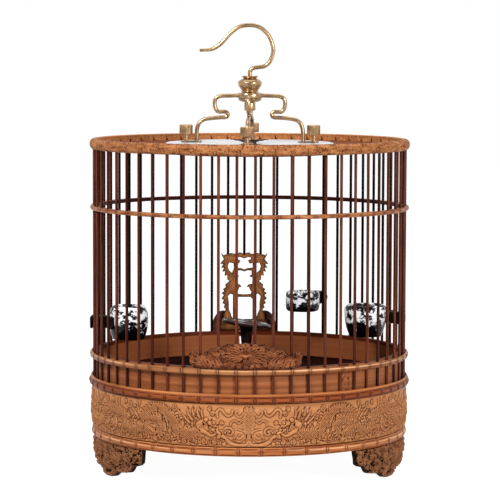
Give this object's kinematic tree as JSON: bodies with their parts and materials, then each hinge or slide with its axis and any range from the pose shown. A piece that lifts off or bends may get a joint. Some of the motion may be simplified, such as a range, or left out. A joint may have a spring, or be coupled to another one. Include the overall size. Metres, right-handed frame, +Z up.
{
  "type": "bird cage",
  "caption": "Round bamboo song-bird cage with a carved base on bracket feet, feeding cups, a stage, a rear door that slides up and a brass hanger with a swivel hook.",
  "frame": {"origin": "on the cage's axis, level with the soles of the three feet", "axes": "+Z up along the cage's axis, -Y towards the front, where the carved plaque is, +X to the right seen from the front"},
  "size_m": [0.3312, 0.3339, 0.4586],
  "materials": {
    "carved_wood": "carved, waxed reddish wood",
    "red_bamboo": "smoked red-brown bamboo, polished",
    "gold_bamboo": "golden bamboo, satin",
    "dark_wood": "dark purple-brown wood, satin",
    "bone": "bone-white, polished",
    "brass": "brushed, slightly aged",
    "porcelain": "opaque glazed porcelain with a black pattern",
    "black": "black lacquer",
    "ebony": "black-purple wood, satin"
  },
  "bodies": {
    "cage": {"base_lower_band": "carved_wood", "base_drum": "carved_wood", "base_top_band": "red_bamboo", "wall_ring": "gold_bamboo", "floor_board": "dark_wood", "foot_left": "carved_wood", "foot_right": "carved_wood", "foot_rear": "carved_wood", "lower_hoop": "gold_bamboo", "bars_and_mid_hoop": "red_bamboo", "top_ring": "carved_wood", "top_grille": "carved_wood", "top_plate_left": "bone", "top_plate_right": "bone", "top_plate_middle": "dark_wood", "front_plaque": "carved_wood", "rear_board": "dark_wood", "hub": "brass", "finial": "brass", "arm_front": "brass", "arm_right": "brass", "arm_back": "brass", "arm_left": "brass", "cup_left": "porcelain", "cup_right": "porcelain", "cup_small": "porcelain", "cup_holder_left": "black", "cup_holder_right": "black", "cup_holder_small": "black", "holder_nut_left": "black", "holder_nut_right": "black", "holder_nut_small": "black", "stage_slab": "ebony", "stage_post": "ebony"},
    "door": {"door_panel": "carved_wood", "door_bar_left": "red_bamboo", "door_bar_middle": "red_bamboo", "door_bar_right": "red_bamboo"},
    "hook": {"hook": "brass", "hook_nut": "brass"},
    "thumb_screw_front": {"knob_front": "brass"},
    "thumb_screw_right": {"knob_right": "brass"},
    "thumb_screw_back": {"knob_back": "brass"},
    "thumb_screw_left": {"knob_left": "brass"}
  },
  "joints": [
    {"name": "hook_swivel", "type": "hinge", "parent": "cage", "child": "hook", "pos_m": [0, 0, 0.39], "axis": [0, 0, 1], "continuous": true},
    {"name": "door_slide", "type": "slide", "parent": "cage", "child": "door", "axis": [0, 0, 1], "range_m": [0, 0.055]},
    {"name": "thumb_screw_front_turn", "type": "hinge", "parent": "cage", "child": "thumb_screw_front", "pos_m": [-0.00288, -0.06594, 0.34], "axis": [0, 0, 1], "range_deg": [0, 360]},
    {"name": "thumb_screw_right_turn", "type": "hinge", "parent": "cage", "child": "thumb_screw_right", "pos_m": [0.06594, -0.00288, 0.34], "axis": [0, 0, 1], "range_deg": [0, 360]},
    {"name": "thumb_screw_back_turn", "type": "hinge", "parent": "cage", "child": "thumb_screw_back", "pos_m": [0.00288, 0.06594, 0.34], "axis": [0, 0, 1], "range_deg": [0, 360]},
    {"name": "thumb_screw_left_turn", "type": "hinge", "parent": "cage", "child": "thumb_screw_left", "pos_m": [-0.06594, 0.00288, 0.34], "axis": [0, 0, 1], "range_deg": [0, 360]}
  ]
}
